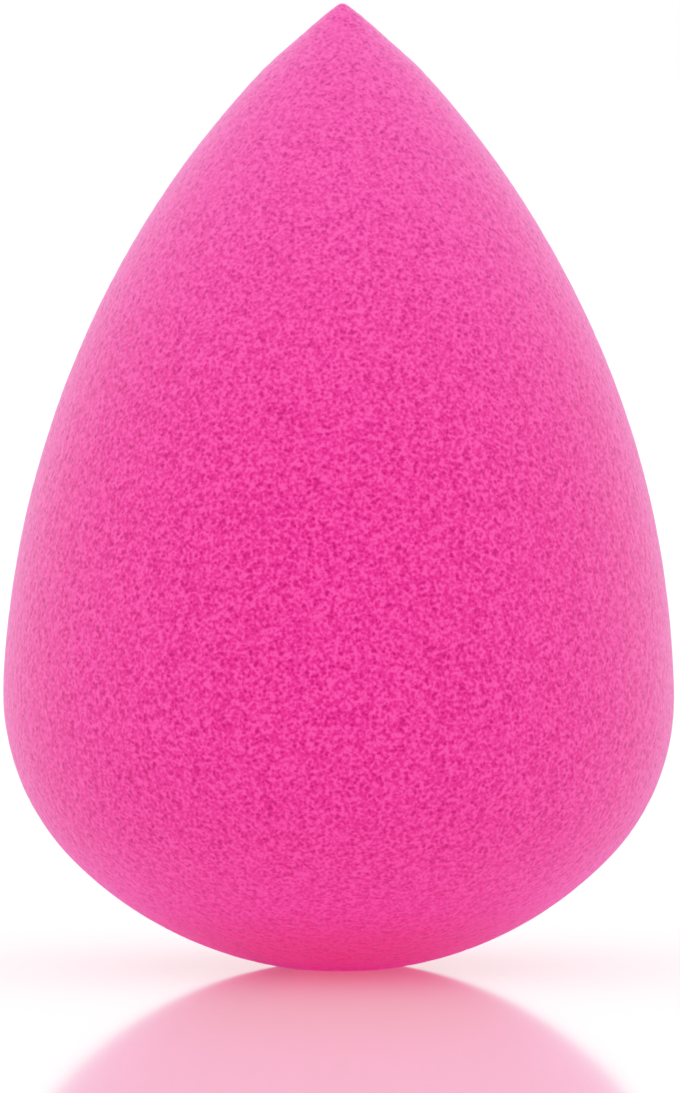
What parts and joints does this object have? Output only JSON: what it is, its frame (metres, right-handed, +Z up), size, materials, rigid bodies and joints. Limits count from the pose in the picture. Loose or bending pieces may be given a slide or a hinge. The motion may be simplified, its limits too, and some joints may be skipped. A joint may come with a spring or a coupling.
{
  "type": "makeup sponge",
  "caption": "Teardrop makeup sponge of soft fine-pored foam, with a pointed tip for small areas and a round end that stands on a small flat.",
  "frame": {"origin": "centre of the small flat at the bottom of the round end, on the surface that the sponge stands on", "axes": "+Z up along the teardrop's axis, from the round end to the tip; X and Y are alike, because the sponge is round"},
  "size_m": [0.0418, 0.0418, 0.06],
  "materials": {
    "foam": "matt hot pink foam with fine open pores"
  },
  "bodies": {
    "root": {"foam_body": "foam"}
  },
  "joints": []
}
